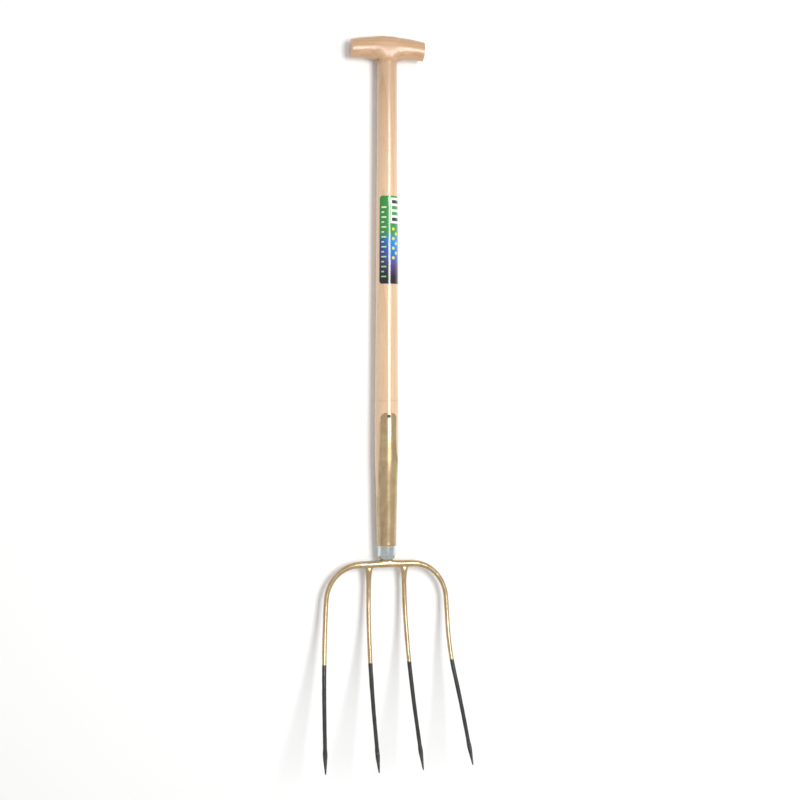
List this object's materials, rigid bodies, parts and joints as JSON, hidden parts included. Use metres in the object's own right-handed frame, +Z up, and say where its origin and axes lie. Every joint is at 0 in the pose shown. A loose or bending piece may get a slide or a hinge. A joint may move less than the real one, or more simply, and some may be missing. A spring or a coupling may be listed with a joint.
{
  "type": "manure fork",
  "caption": "Long-handled four-tine fork with a wooden T-grip, round wooden shaft, strapped gold-painted socket, zinc ferrule and forward-dished round tines with black points.",
  "frame": {"origin": "Bottom centre of the bounding box of the fork lying on its back: Z = 0 is the ground, X = 0 is midway across and Y = 0 is midway along it.", "axes": "+Y runs along the shaft from the tine points to the T-grip. +Z points up from the ground and out of the fork's front, and the tines dish up towards it. X runs along the T-grip and along the head's bar."},
  "size_m": [0.223, 1.0863, 0.1282],
  "materials": {
    "grip_wood": "pale hardwood under clear lacquer",
    "shaft_wood": "pale ash, turned and thinly lacquered",
    "wedge_wood": "darker hardwood end grain",
    "gold_paint": "glossy gold-bronze paint, with the lower tines dipped black",
    "zinc_plate": "bright zinc plating",
    "nail_steel": "dark bare steel",
    "label_film": "glossy printed film"
  },
  "bodies": {
    "root": {"t_grip": "grip_wood", "grip_wedge": "wedge_wood", "shaft": "shaft_wood", "shaft_label": "label_film", "strap_socket": "gold_paint", "front_strap_nail": "nail_steel", "back_strap_nail": "nail_steel", "ferrule": "zinc_plate", "fork_head": "gold_paint"}
  },
  "joints": []
}
